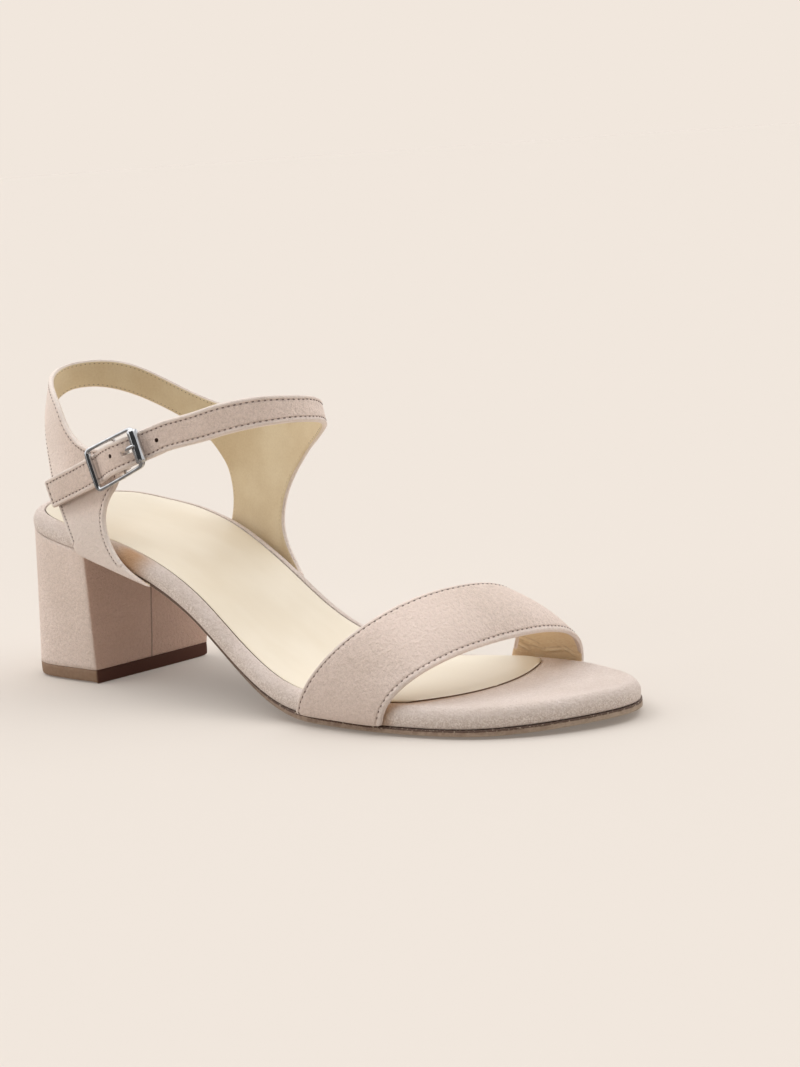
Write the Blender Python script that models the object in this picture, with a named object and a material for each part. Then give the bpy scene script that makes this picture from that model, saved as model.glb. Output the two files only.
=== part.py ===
"""Mid heel sandal, right shoe: wrapped footbed, block heel, toe strap and buckled ankle straps.

Tables are in millimetres and become metres when a mesh is made.
x runs from the back of the heel to the toe, y towards the inner side of the foot, z up from the floor.
"""
import math

import bmesh
import bpy
import numpy as np

# Overall sizes
SOLE_LENGTH = 237.4
ORIGIN = (SOLE_LENGTH / 2, 1.6, 0.0)
METRE = 0.001
GAP = 0.3

# Plan of the footbed, heel to toe, as (x, y) along the outer and the inner side
OUTER_SIDE = [(0, 0), (9.9, -23), (33.9, -31), (59.4, -31.4), (85, -31.2), (110.5, -33.6),
              (135.8, -37.6), (161.3, -38.2), (186.8, -36), (211, -28.2), (229.6, -10.5), (237.4, 12.2)]
INNER_SIDE = [(0, 0), (8.9, 22.9), (32.5, 28.6), (57, 26.4), (81.4, 21.5), (106, 18.6),
              (130.5, 22.5), (153.7, 31.2), (177, 40.2), (201.5, 40.5), (224, 30.2), (237.4, 12.2)]
SIDE_STATIONS = 44

# Height of the footbed's lower edge at each tenth of the length, heel to toe
FEATHER_LINE = [53.9, 49.7, 46.1, 40.1, 29.5, 14.7, 4.9, 3.3, 3.0, 3.2, 4.9]

# Footbed edge from its lower corner, as (inset, rise, share of the sock's recess)
FOOTBED_EDGE = [(0.0, 0.0, 0), (-0.35, 1.6, 0), (-0.1, 3.4, 0), (0.8, 4.8, 0), (2.0, 5.6, 0), (3.2, 5.9, 0),
                (3.8, 5.85, 0), (4.1, 5.8, 1)]
FOOTBED_DISH = 1.0
SOCK_RECESS = 0.9
RECESS_FADE = (150.0, 188.0)
TOP_COLUMNS = 6

# Insole sock on the footbed, ending in an arc behind the toes
SOCK_INSET = 4.4
SOCK_THICK = 0.8
SOCK_FRONT_X = 193.0
SOCK_FRONT_RADIUS = 67.0
SOCK_FRONT_Y = 2.0

# Outsole from the heel breast to the toe
OUTSOLE_STATIONS = [40, 115, 150]
OUTSOLE_THICK = [1.4, 1.4, 2.9]
OUTSOLE_GROW = [-0.6, -0.2, 0.5]
OUTSOLE_EDGE_LIFT = [0.35, 0.4, 0.9]
OUTSOLE_ROLL = 6.0

# Block heel and its top piece
BREAST_TOP_X = 45.3
BREAST_FLOOR_X = 40.9
HEEL_FLOOR_HALF_WIDE = 25.75
HEEL_FLOOR_Y = -1.0
HEEL_FLOOR_ROUND_X = 22.0
HEEL_FLOOR_FULLNESS = 2.7
HEEL_CORNER = 1.3
HEEL_LEVELS = 8
TIP_HEIGHT = 4.7

# Toe strap from its rear to its front edge: x at its two feet and its crown, crown height and fullness
STRAP_WALL = 1.8
TOE_STRAP = [
    # outer_x, crown_x, inner_x, crown_z, fullness, crown_run
    (149.1, 181.9, 167.4, 38.3, 2.19, 1.24),
    (157.4, 188.7, 173.8, 35.0, 2.22, 1.29),
    (165.7, 194.0, 180.2, 31.5, 2.26, 1.35),
    (174.0, 197.8, 186.5, 27.7, 2.30, 1.41),
    (182.3, 200.2, 192.9, 23.7, 2.33, 1.46),
]
TOE_STRAP_COLUMNS = 30
TOE_STRAP_STEPS = 2

# Hoop that the ankle straps follow: an egg in plan, narrow at the back
HOOP_X = 62.0
HOOP_Y = -1.0
HOOP_LONG = 60.0
HOOP_WIDE = 28.0
HOOP_EGG = 0.15
FRONT_LEAN = 0.25
FRONT_LEVEL = 92.0
BACK_LEAN = 0.38
BACK_LEVEL = 88.0
HOOP_CLEAR_Z = 78.0

# Strap bands on the hoop: angle round from the back (outer side negative) and height of each edge
HALF_COLUMNS = 5
COLUMN_STEPS = np.array([0.0, 0.18, 0.36, 0.64, 0.82, 1.0])
OUTER_QUARTER = [
    # rear_angle, rear_z, front_angle, front_z
    (-73, 46.0, -105, 37.0),
    (-71, 49.5, -96, 41.2),
    (-68.5, 53.0, -90, 46.8),
    (-64.5, 57.5, -86, 53.6),
    (-59.5, 61.5, -85, 59.6),
    (-53, 65.5, -86.5, 64.6),
]
OUTER_JOIN = (-44, 71.0, -76, 80.0, -90, 68.5)
BACK_STRAP = [
    # lower_angle, lower_z, upper_angle, upper_z
    (-35, 75.5, -68.5, 82.2),
    (-29, 79.5, -61, 86.7),
    (-23, 84.0, -54, 92.5),
    (-17, 87.8, -44, 97.2),
    (-10, 91.5, -31, 100.4),
    (-3, 94.0, -17, 102.8),
    (5, 95.6, -3, 104.3),
    (13, 96.4, 9, 105.0),
    (25, 96.5, 22, 105.2),
    (36, 95.3, 35, 104.5),
    (46, 93.0, 46, 102.4),
    (55, 90.0, 57, 98.6),
    (66, 85.2, 69, 93.6),
    (73, 81.0, 83, 88.6),
]
INNER_JOIN = (79, 75.8, 98, 86.0, 126, 75.0)
INNER_QUARTER = [
    # rear_angle, rear_z, front_angle, front_z
    (84, 68.5, 118.5, 68.5),
    (85.5, 62.0, 113.5, 62.0),
    (85.5, 56.0, 111, 55.5),
    (84, 50.5, 110.5, 49.0),
    (82, 46.0, 113, 42.0),
    (80, 43.2, 121, 32.0),
]
INSTEP_STRAP = [
    # upper_angle, upper_z, lower_angle, lower_z
    (106, 86.6, 134, 79.0),
    (116, 87.5, 142, 82.0),
    (128, 88.8, 150, 84.0),
    (142, 90.6, 159, 85.7),
    (157, 92.7, 169, 87.0),
    (170, 94.8, 180, 87.9),
    (183, 95.9, 189, 88.3),
    (194, 96.6, 197, 88.3),
    (205, 96.8, 206, 87.9),
    (214, 96.2, 214.5, 87.1),
    (224, 95.0, 223, 85.8),
    (234, 92.7, 232, 83.9),
]

# Strap from the instep through the buckle to its tail: middle line and how far it stands off the hoop
STRAP_WIDTH = 9.1
STRAP_TAIL = [
    # x, z, stand_off
    (88.0, 86.0, 0.3),
    (84.0, 84.5, 1.1),
    (80.0, 83.1, 1.6),
    (76.0, 81.6, 3.1),
    (72.0, 80.0, 5.0),
    (68.0, 78.7, 5.4),
    (64.0, 77.4, 5.0),
    (60.0, 75.9, 3.7),
    (56.0, 74.4, 2.7),
    (52.0, 72.9, 3.2),
    (46.0, 70.6, 4.0),
    (38.0, 67.8, 5.7),
    (29.5, 64.8, 7.8),
]
PRONG_SLOT_ROW = 3

# Buckle: middle of its centre bar, tilt along the strap, half sizes and wire radii
BUCKLE_X = 68.0
BUCKLE_Z = 78.9
BUCKLE_TILT = math.radians(20.8)
BUCKLE_Y = -34.2
BUCKLE_HALF_LONG = 12.1
BUCKLE_HALF_WIDE = 6.2
BUCKLE_LOWER_HALF = 7.1
BUCKLE_TAPER = 0.25
BUCKLE_CORNER = 1.7
END_BAR_RADIUS = 1.2
RAIL_RADIUS = 0.65
ROLLER_RADIUS = 1.9
ROLLER_ENDS = (-5.8, 5.2)
CENTRE_BAR_Y = -31.2
CENTRE_BAR_RADIUS = 0.6

# Loop of the outer quarter that holds the centre bar
LOOP_RADIUS = 1.55
LOOP_WALL = 1.0
LOOP_WIDTH = 8.6

# Prong: wire radius, eye radius, place across the strap and path on to the roller, as (along the strap, y, radius)
PRONG_RADIUS = 0.55
PRONG_EYE = 1.35
PRONG_ACROSS = -0.3
PRONG_PATH = [(2.2, -32.4, 0.55), (3.8, -32.2, 0.55), (5.0, -32.3, 0.55), (5.8, -32.8, 0.55), (6.4, -33.6, 0.55),
              (7.0, -34.5, 0.6), (7.8, -35.3, 0.7), (8.9, -36.0, 0.75), (10.2, -36.6, 0.75), (11.5, -37.0, 0.75),
              (12.8, -37.0, 0.7), (13.5, -36.85, 0.4)]

SUEDE = (0.62, 0.50, 0.43, 1.0)
SOCK_CREAM = (0.80, 0.70, 0.53, 1.0)
OUTSOLE_TAN = (0.36, 0.26, 0.19, 1.0)
TIP_BROWN = (0.11, 0.07, 0.055, 1.0)
METAL = (0.75, 0.75, 0.76, 1.0)


def material(name, colour, roughness, metallic):
    """One Principled material for one named piece."""
    paint = bpy.data.materials.new(name)
    paint.use_nodes = True
    shader = paint.node_tree.nodes["Principled BSDF"]
    shader.inputs["Base Color"].default_value = colour
    shader.inputs["Roughness"].default_value = roughness
    shader.inputs["Metallic"].default_value = metallic
    paint.diffuse_color = colour
    return paint


def add_piece(name, points, faces, colour, roughness=0.8, metallic=0.0):
    """Make one closed solid in metres about the part's origin."""
    mesh = bpy.data.meshes.new(name)
    places = (np.asarray(points, float) - ORIGIN) * METRE
    mesh.from_pydata([tuple(p) for p in places], [], [tuple(f) for f in faces])
    work = bmesh.new()
    work.from_mesh(mesh)
    bmesh.ops.triangulate(work, faces=[f for f in work.faces if len(f.verts) == 4])
    bmesh.ops.recalc_face_normals(work, faces=work.faces)
    if work.calc_volume(signed=True) < 0:
        bmesh.ops.reverse_faces(work, faces=work.faces)
    work.to_mesh(mesh)
    work.free()
    piece = bpy.data.objects.new(name, mesh)
    piece.data.materials.append(material(name, colour, roughness, metallic))
    bpy.context.scene.collection.objects.link(piece)
    return piece


def curve(x, xs, ys):
    """Piecewise cubic through a table, with slopes from the neighbouring rows."""
    xs = np.asarray(xs, float)
    ys = np.asarray(ys, float)
    slopes = np.gradient(ys, xs)
    x = np.clip(np.asarray(x, float), xs[0], xs[-1])
    k = np.clip(np.searchsorted(xs, x) - 1, 0, len(xs) - 2)
    h = xs[k + 1] - xs[k]
    t = (x - xs[k]) / h
    a = ys[k] * (1 + 2 * t) * (1 - t) ** 2 + slopes[k] * h * t * (1 - t) ** 2
    b = ys[k + 1] * t * t * (3 - 2 * t) - slopes[k + 1] * h * t * t * (1 - t)
    return a + b


def through(rows, steps):
    """Smooth rows: a cubic through the rows with the given number of steps in each span."""
    rows = np.asarray(rows, float)
    count = (len(rows) - 1) * steps + 1
    slopes = np.gradient(rows, axis=0)
    out = []
    for i in range(count):
        k = min(i // steps, len(rows) - 2)
        t = i / steps - k
        a = rows[k] * (1 + 2 * t) * (1 - t) ** 2 + slopes[k] * t * (1 - t) ** 2
        b = rows[k + 1] * t * t * (3 - 2 * t) - slopes[k + 1] * t * t * (1 - t)
        out.append(a + b)
    return np.array(out)


def feather(x):
    """Height of the footbed's lower edge."""
    return curve(x, np.linspace(0, SOLE_LENGTH, len(FEATHER_LINE)), FEATHER_LINE)


def side_line(table, other):
    """Stations along one side of the plan, rounding the heel and the toe into the other side."""
    rows = [other[1]] + list(table) + [other[-2]]
    fine = through(rows, 40)[40:-40]
    along = np.concatenate([[0], np.cumsum(np.linalg.norm(np.diff(fine, axis=0), axis=1))])
    wanted = np.linspace(0, along[-1], SIDE_STATIONS + 1)
    return np.stack([np.interp(wanted, along, fine[:, axis]) for axis in (0, 1)], axis=1)


OUTER_LINE = side_line(OUTER_SIDE, INNER_SIDE)
INNER_LINE = side_line(INNER_SIDE, OUTER_SIDE)


def plan_loop():
    """The footbed's plan as one loop: outer side heel to toe, then inner side back."""
    return np.concatenate([OUTER_LINE, INNER_LINE[-2:0:-1]])


def inset_loop(loop, inset):
    """Move a plan loop inwards along its own normals."""
    ahead = np.roll(loop, -1, axis=0)
    behind = np.roll(loop, 1, axis=0)
    along = ahead - behind
    along /= np.linalg.norm(along, axis=1)[:, None]
    inward = np.stack([-along[:, 1], along[:, 0]], axis=1)
    return loop + inward * np.reshape(inset, (-1, 1))


def edge_y(x, side):
    """The plan's y on one side at a given x."""
    line = OUTER_LINE if side < 0 else INNER_LINE
    return np.interp(x, line[:, 0], line[:, 1])


def sink(x, y):
    """How far the footbed's top lies below its edge."""
    outer = edge_y(x, -1) + SOCK_INSET
    inner = edge_y(x, 1) - SOCK_INSET
    across = np.clip((y - outer) / (inner - outer), 0, 1)
    fade = np.clip(np.minimum(x / 30, (SOLE_LENGTH - x) / 40), 0, 1)
    return FOOTBED_DISH * 4 * across * (1 - across) * fade


def sock_bed(x):
    """Level of the footbed's top edge under the sock, sunk behind the toes so that the sock lies flush."""
    start, end = RECESS_FADE
    return feather(x) + FOOTBED_EDGE[-1][1] - SOCK_RECESS * np.clip((end - x) / (end - start), 0, 1)


def ladder(points, faces, ring, columns, dished, flip):
    """Close a loop of point numbers with rungs from side to side, level or dished."""
    half = len(ring) // 2
    rungs = [[ring[0]]]
    for i in range(1, half):
        a, b = ring[i], ring[-i]
        rung = [a]
        for c in range(1, columns):
            t = c / columns
            spot = points[a] * (1 - t) + points[b] * t
            if dished:
                level = dished(spot[0])
                spot[2] = level - sink(spot[0], spot[1])
            rung.append(len(points))
            points.append(spot)
        rung.append(b)
        rungs.append(rung)
    rungs.append([ring[half]])
    for low, high in zip(rungs[:-1], rungs[1:]):
        for c in range(columns):
            corners = [low[min(c, len(low) - 1)], low[min(c + 1, len(low) - 1)],
                       high[min(c + 1, len(high) - 1)], high[min(c, len(high) - 1)]]
            face = list(dict.fromkeys(corners))
            faces.append(face[::-1] if flip else face)


def slab(name, loops, top_columns, dished, colour, roughness, below=None):
    """A solid from a stack of loops, lowest first; dished and below give the levels of its top and underside."""
    points = []
    faces = []
    rings = []
    for loop in loops:
        rings.append(list(range(len(points), len(points) + len(loop))))
        points.extend(np.array(p, float) for p in loop)
    size = len(rings[0])
    for low, high in zip(rings[:-1], rings[1:]):
        for i in range(size):
            j = (i + 1) % size
            faces.append((low[i], low[j], high[j], high[i]))
    ladder(points, faces, rings[0], top_columns if below else 2, below, True)
    ladder(points, faces, rings[-1], top_columns, dished, False)
    return add_piece(name, points, faces, colour, roughness)


def build_footbed():
    """Suede-wrapped footbed with a rounded edge and a slightly dished top."""
    loop = plan_loop()
    loops = []
    for inset, rise, sunk in FOOTBED_EDGE:
        plan = inset_loop(loop, inset)
        level = sock_bed(plan[:, 0]) if sunk else feather(plan[:, 0]) + rise
        loops.append(np.column_stack([plan, level]))
    slab("footbed", loops, TOP_COLUMNS, sock_bed, SUEDE, 0.9)


def sock_loop(inset):
    """Plan of the sock: the inset footbed plan, cut by an arc behind the toes."""
    plan = inset_loop(plan_loop(), inset)
    reach = np.sqrt(np.maximum(SOCK_FRONT_RADIUS ** 2 - (plan[:, 1] - SOCK_FRONT_Y) ** 2, 0))
    arc_x = SOCK_FRONT_X - SOCK_FRONT_RADIUS + reach
    keep = plan[:, 0] < arc_x - 1.0
    half = SIDE_STATIONS
    outer_last = max(i for i in range(half) if keep[i])
    inner_last = min(i for i in range(half + 1, 2 * half) if keep[i])
    outer = plan[:outer_last + 1]
    inner = plan[inner_last:]
    count = 2 * half - len(outer) - len(inner)
    ys = np.linspace(outer[-1][1], inner[0][1], count + 2)[1:-1]
    xs = SOCK_FRONT_X - SOCK_FRONT_RADIUS + np.sqrt(SOCK_FRONT_RADIUS ** 2 - (ys - SOCK_FRONT_Y) ** 2)
    return np.concatenate([outer, np.column_stack([xs, ys]), inner])


def build_sock():
    """Leather sock that lies on the footbed a hair above it."""
    loops = []
    for inset, height in ((0.0, 0.0), (0.0, SOCK_THICK * 0.6), (0.35, SOCK_THICK)):
        plan = sock_loop(SOCK_INSET + inset)
        level = sock_bed(plan[:, 0]) - sink(plan[:, 0], plan[:, 1])
        loops.append(np.column_stack([plan, level + GAP + height]))
    slab("insole_sock", loops, TOP_COLUMNS, lambda x: sock_bed(x) + GAP + SOCK_THICK, SOCK_CREAM, 0.45,
         below=lambda x: sock_bed(x) + GAP)


def build_outsole():
    """Thin outsole from the heel breast to the toe, flat on the floor under the ball."""
    grow = np.interp(plan_loop()[:, 0], OUTSOLE_STATIONS, OUTSOLE_GROW)
    plan = inset_loop(plan_loop(), -grow)
    back = BREAST_TOP_X + 0.6
    half = SIDE_STATIONS
    first_outer = min(i for i in range(half) if plan[i][0] > back + 1.0)
    last_inner = max(i for i in range(half + 1, 2 * half) if plan[i][0] > back + 1.0)
    outer = plan[first_outer:half]
    inner = plan[half + 1:last_inner + 1]
    outer_back = [back, edge_y(back, -1) + 0.8]
    inner_back = [back, edge_y(back, 1) - 0.8]
    middle_back = [back, (outer_back[1] + inner_back[1]) / 2]
    while len(outer) > len(inner):
        outer = np.delete(outer, 1, axis=0)
    while len(inner) > len(outer):
        inner = np.delete(inner, -2, axis=0)
    loop = np.concatenate([[middle_back], [outer_back], outer, [plan[half]], inner, [inner_back]])
    top = feather(loop[:, 0]) - GAP
    thick = np.interp(loop[:, 0], OUTSOLE_STATIONS, OUTSOLE_THICK)
    floor = np.maximum(top - thick, 0.0)
    lift = np.interp(loop[:, 0], OUTSOLE_STATIONS, OUTSOLE_EDGE_LIFT)
    under = inset_loop(loop, np.interp(loop[:, 0], OUTSOLE_STATIONS, [0.6, 0.6, OUTSOLE_ROLL]))
    under[0] = middle_back
    under[1, 0] = back
    under[-1, 0] = back
    loops = [np.column_stack([under, floor]),
             np.column_stack([loop, floor + lift]),
             np.column_stack([loop, top])]
    slab("outsole", loops, 2, None, OUTSOLE_TAN, 0.7)


def heel_floor_y(x, side):
    """The heel's side where it meets its top piece: straight at the breast, full at the back."""
    into = max(HEEL_FLOOR_ROUND_X - x, 0.0) / HEEL_FLOOR_ROUND_X
    reach = max(1 - into ** HEEL_FLOOR_FULLNESS, 0.0) ** (1 / HEEL_FLOOR_FULLNESS)
    return HEEL_FLOOR_Y * min(1.0, 2 * reach) + side * HEEL_FLOOR_HALF_WIDE * reach


def heel_line(breast_x, side_y):
    """A heel section as a loop: outer side back to breast, then the inner side from breast to back."""
    sides = []
    for side in (-1, 1):
        turns = np.linspace(0, math.pi / 2, 16)
        xs = (breast_x - HEEL_CORNER) * (1 - np.cos(turns))
        rows = [(x, side_y(x, side)) for x in xs]
        corner_y = side_y(breast_x, side)
        rows.append((breast_x - 0.3 * HEEL_CORNER, corner_y - side * 0.3 * HEEL_CORNER))
        rows.append((breast_x, corner_y - side * HEEL_CORNER))
        sides.append(rows)
    middle = (breast_x, (sides[0][-1][1] + sides[1][-1][1]) / 2)
    return np.array(sides[0] + [middle] + sides[1][:0:-1], float)


def heel_section(amount):
    """Plan of the heel from the seat, at amount 0, to the floor, at amount 1."""
    seat = heel_line(BREAST_TOP_X, edge_y)
    floor = heel_line(BREAST_FLOOR_X, heel_floor_y)
    return seat * (1 - amount) + floor * amount


def build_heel():
    """Suede-covered block heel under the seat."""
    seat = heel_section(0.0)
    loops = []
    for level in range(HEEL_LEVELS + 1):
        amount = 1 - level / HEEL_LEVELS
        plan = heel_section(amount)
        top = feather(seat[:, 0]) - GAP
        base = TIP_HEIGHT + 0.1
        loops.append(np.column_stack([plan, base + (top - base) * (1 - amount)]))
    slab("heel", loops, 2, None, SUEDE, 0.9)


def build_heel_tip():
    """Rubber top piece under the heel, flat on the floor."""
    plan = heel_section(1.0)
    loops = []
    for inset, height in ((0.5, 0.0), (0.0, 0.5), (0.0, TIP_HEIGHT)):
        loops.append(np.column_stack([inset_loop(plan, inset), np.full(len(plan), height)]))
    slab("heel_tip", loops, 2, None, TIP_BROWN, 0.6)


def unit(rows):
    """Rows scaled to length one."""
    length = np.linalg.norm(rows, axis=-1, keepdims=True)
    return rows / np.maximum(length, 1e-9)


def thicken(name, points, quads, walls, colour, roughness):
    """Give a sheet of quads a wall on both sides of its middle, with rounded edges."""
    points = np.asarray(points, float)
    walls = np.reshape(walls, (-1, 1))
    normals = np.zeros_like(points)
    uses = {}
    for quad in quads:
        a, b, c, d = (points[i] for i in quad)
        across = np.cross(c - a, d - b)
        for i in quad:
            normals[i] += across
        for i, j in zip(quad, quad[1:] + quad[:1]):
            uses[(i, j)] = uses.get((i, j), 0) + 1
    normals = unit(normals)
    rim = [(i, j) for (i, j) in uses if (j, i) not in uses]
    outward = np.zeros_like(points)
    for i, j in rim:
        away = unit(np.cross(points[j] - points[i], normals[i] + normals[j]))
        outward[i] += away
        outward[j] += away
    outward = unit(outward)
    size = len(points)
    outer = points + normals * walls / 2
    inner = points - normals * walls / 2
    rounded = points + outward * walls * 0.28
    number = {}
    extra = []
    for i, j in rim:
        for k in (i, j):
            if k not in number:
                number[k] = 2 * size + len(extra)
                extra.append(rounded[k])
    faces = []
    for quad in quads:
        faces.append(tuple(quad))
        faces.append(tuple(size + i for i in quad[::-1]))
    for i, j in rim:
        faces.append((j, i, number[i], number[j]))
        faces.append((number[j], number[i], size + i, size + j))
    everything = np.concatenate([outer, inner, np.array(extra)])
    return add_piece(name, everything, faces, colour, roughness)


def build_toe_strap():
    """Wide strap over the forefoot, reaching down outside the footbed to the outsole."""
    grid = []
    for outer_x, crown_x, inner_x, crown_z, fullness, crown_run in through(TOE_STRAP, TOE_STRAP_STEPS):
        stand = GAP + STRAP_WALL / 2 + 0.6
        outer_y = edge_y(outer_x, -1) - stand
        inner_y = edge_y(inner_x, 1) + stand
        middle_y = (outer_y + inner_y) / 2
        half_wide = (inner_y - outer_y) / 2
        row = []
        for turn in np.linspace(0, math.pi, TOE_STRAP_COLUMNS + 1):
            power = 2 / fullness
            side = -math.copysign(abs(math.cos(turn)) ** power, math.cos(turn))
            rise = max(math.sin(turn), 0.0) ** power
            mix = (side + 1) / 2
            x = outer_x * (1 - mix) + inner_x * mix
            base = feather(x) + 0.4
            x += (crown_x - (outer_x + inner_x) / 2) * max(math.sin(turn), 0.0) ** crown_run
            row.append((x, middle_y + half_wide * side, base + (crown_z - base) * rise))
        grid.append(row)
    wide = TOE_STRAP_COLUMNS + 1
    points = [p for row in grid for p in row]
    quads = []
    for r in range(len(grid) - 1):
        for c in range(wide - 1):
            quads.append([r * wide + c, (r + 1) * wide + c, (r + 1) * wide + c + 1, r * wide + c + 1])
    thicken("toe_strap", points, quads, np.full(len(points), STRAP_WALL), SUEDE, 0.9)


def on_hoop(angle, z):
    """A point on the ankle hoop, easing out to the footbed's side lower down."""
    turn = math.radians(angle)
    side = 1 if math.sin(turn) >= 0 else -1
    x = HOOP_X - HOOP_LONG * math.cos(turn)
    x -= FRONT_LEAN * (max(z, 80.0) - FRONT_LEVEL) * ((1 - math.cos(turn)) / 2) ** 3
    x += BACK_LEAN * max(z - BACK_LEVEL, 0.0) * ((1 + math.cos(turn)) / 2) ** 2
    y = HOOP_Y + HOOP_WIDE * math.sin(turn) * (1 - HOOP_EGG * math.cos(turn))
    low = feather(x)
    rise = min(max((z - low) / (HOOP_CLEAR_Z - low), 0.0), 1.0)
    ease = rise * rise * (3 - 2 * rise)
    foot = edge_y(x, side) + side * (GAP + STRAP_WALL / 2 + 0.35)
    return np.array([x, foot * (1 - ease) + y * ease, z])


def band_row(start_angle, start_z, end_angle, end_z, columns):
    """Points from one edge of a band to the other, on the hoop."""
    steps = COLUMN_STEPS
    if columns > HALF_COLUMNS:
        steps = np.concatenate([COLUMN_STEPS / 2, 0.5 + COLUMN_STEPS[1:] / 2])
    return [on_hoop(start_angle + (end_angle - start_angle) * t, start_z + (end_z - start_z) * t) for t in steps]


def quarter_rows(table, join):
    """Rows of a quarter from its foot to the row where its two straps part."""
    rows = [band_row(*row, 2 * HALF_COLUMNS) for row in table]
    rear_angle, rear_z, notch_angle, notch_z, front_angle, front_z = join
    rear = band_row(rear_angle, rear_z, notch_angle, notch_z, HALF_COLUMNS)
    front = band_row(notch_angle, notch_z, front_angle, front_z, HALF_COLUMNS)
    rows.append(rear + front[1:])
    return np.array(rows)


def tail_row(x, z, stand_off):
    """A row of the strap across its run through the buckle, square to the strap."""
    turn = math.acos((HOOP_X - x) / HOOP_LONG)
    y = HOOP_Y - HOOP_WIDE * math.sin(turn) * (1 - HOOP_EGG * math.cos(turn)) - stand_off
    row = []
    for t in 0.5 - COLUMN_STEPS:
        across = STRAP_WIDTH * t
        row.append(np.array([x - across * math.sin(BUCKLE_TILT), y, z + across * math.cos(BUCKLE_TILT)]))
    return row


def along_buckle(along, across, y):
    """A point of the buckle from its place along and across the strap."""
    cos, sin = math.cos(BUCKLE_TILT), math.sin(BUCKLE_TILT)
    return np.array([BUCKLE_X + along * cos - across * sin, y, BUCKLE_Z + along * sin + across * cos])


def loop_rows():
    """Rows of the leather loop round the centre bar, as rows from upper to lower edge and a wall for each."""
    path = [(-6.5, -28.75, 1.7), (-4.0, -28.9, 1.45), (-1.8, -29.35, LOOP_WALL)]
    for degrees in range(0, 181, 30):
        turn = math.radians(degrees)
        path.append((LOOP_RADIUS * math.sin(turn), CENTRE_BAR_Y + LOOP_RADIUS * math.cos(turn), LOOP_WALL))
    path += [(-1.8, -32.6, LOOP_WALL), (-3.6, -32.0, LOOP_WALL), (-5.2, -31.4, LOOP_WALL)]
    rows = []
    for along, y, wall in path:
        spread = (0.5 - COLUMN_STEPS) * LOOP_WIDTH
        rows.append([along_buckle(along, PRONG_ACROSS + across, y) for across in spread])
    return rows, [wall for along, y, wall in path]


def build_ankle_straps():
    """Both quarters, the back strap, the instep strap and the buckle's loop as one joined sheet."""
    points = []
    walls = []
    quads = []

    def add_rows(rows, row_walls):
        numbers = []
        for row, wall in zip(rows, row_walls):
            numbers.append(list(range(len(points), len(points) + len(row))))
            points.extend(row)
            walls.extend([wall] * len(row))
        return numbers

    def join_rows(numbers, open_cells=()):
        for r in range(len(numbers) - 1):
            for c in range(len(numbers[r]) - 1):
                if (r, c) not in open_cells:
                    quads.append([numbers[r][c], numbers[r][c + 1], numbers[r + 1][c + 1], numbers[r + 1][c]])

    outer = through(quarter_rows(OUTER_QUARTER, OUTER_JOIN), 2)
    outer_numbers = add_rows(outer, [STRAP_WALL] * len(outer))
    join_rows(outer_numbers)

    inner = through(quarter_rows(INNER_QUARTER[::-1], INNER_JOIN), 2)
    inner_numbers = add_rows(inner, [STRAP_WALL] * len(inner))
    join_rows([row[::-1] for row in inner_numbers])

    first = outer[-1][:HALF_COLUMNS + 1]
    last = inner[-1][:HALF_COLUMNS + 1]
    middle = [band_row(*row, HALF_COLUMNS) for row in BACK_STRAP]
    back = through([first] + middle + [last], 2)[1:-1]
    back_numbers = add_rows(back, [STRAP_WALL] * len(back))
    join_rows([outer_numbers[-1][:HALF_COLUMNS + 1]] + back_numbers + [inner_numbers[-1][:HALF_COLUMNS + 1]])

    start = inner[-1][HALF_COLUMNS:]
    over = [band_row(*row, HALF_COLUMNS) for row in INSTEP_STRAP]
    tail = [tail_row(*row) for row in STRAP_TAIL]
    instep = through([start] + over + tail, 2)[1:]
    instep_numbers = add_rows(instep, [STRAP_WALL] * len(instep))
    slot_first = 2 * (1 + len(over) + PRONG_SLOT_ROW)
    slot = [(slot_first + k, HALF_COLUMNS // 2) for k in range(2)]
    instep_all = [inner_numbers[-1][HALF_COLUMNS:]] + instep_numbers
    join_rows([row[::-1] for row in instep_all], slot)

    loop, loop_walls = loop_rows()
    loop_numbers = add_rows(loop, loop_walls)
    eye = [(r, HALF_COLUMNS // 2) for r in range(3, 11)]
    join_rows([outer_numbers[-1][HALF_COLUMNS:]] + loop_numbers, eye)

    thicken("ankle_straps", points, quads, walls, SUEDE, 0.9)


def tube(path, radii, sides, closed):
    """Points and faces of a round wire along a path."""
    path = np.asarray(path, float)
    count = len(path)
    points = []
    faces = []
    for i in range(count):
        if closed:
            along = path[(i + 1) % count] - path[i - 1]
        else:
            along = path[min(i + 1, count - 1)] - path[max(i - 1, 0)]
        along = unit(along)
        if i == 0:
            start = np.array([0.0, 1.0, 0.0]) if abs(along[1]) < 0.8 else np.array([1.0, 0.0, 0.0])
            across = unit(np.cross(along, start))
        else:
            across = unit(across - along * np.dot(across, along))
        other = np.cross(along, across)
        for s in range(sides):
            turn = 2 * math.pi * s / sides
            points.append(path[i] + radii[i] * (across * math.cos(turn) + other * math.sin(turn)))
    for i in range(count if closed else count - 1):
        j = (i + 1) % count
        for s in range(sides):
            t = (s + 1) % sides
            faces.append((i * sides + s, i * sides + t, j * sides + t, j * sides + s))
    if not closed:
        faces.append(tuple(range(sides - 1, -1, -1)))
        faces.append(tuple((count - 1) * sides + s for s in range(sides)))
    return points, faces


def weld(piece, other):
    """Make another piece part of this one."""
    union = piece.modifiers.new("join", "BOOLEAN")
    union.operation = "UNION"
    union.solver = "EXACT"
    union.object = other
    bpy.context.view_layer.update()
    joined = bpy.data.meshes.new_from_object(piece.evaluated_get(bpy.context.evaluated_depsgraph_get()))
    piece.modifiers.clear()
    piece.data = joined
    bpy.data.objects.remove(other)


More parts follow.
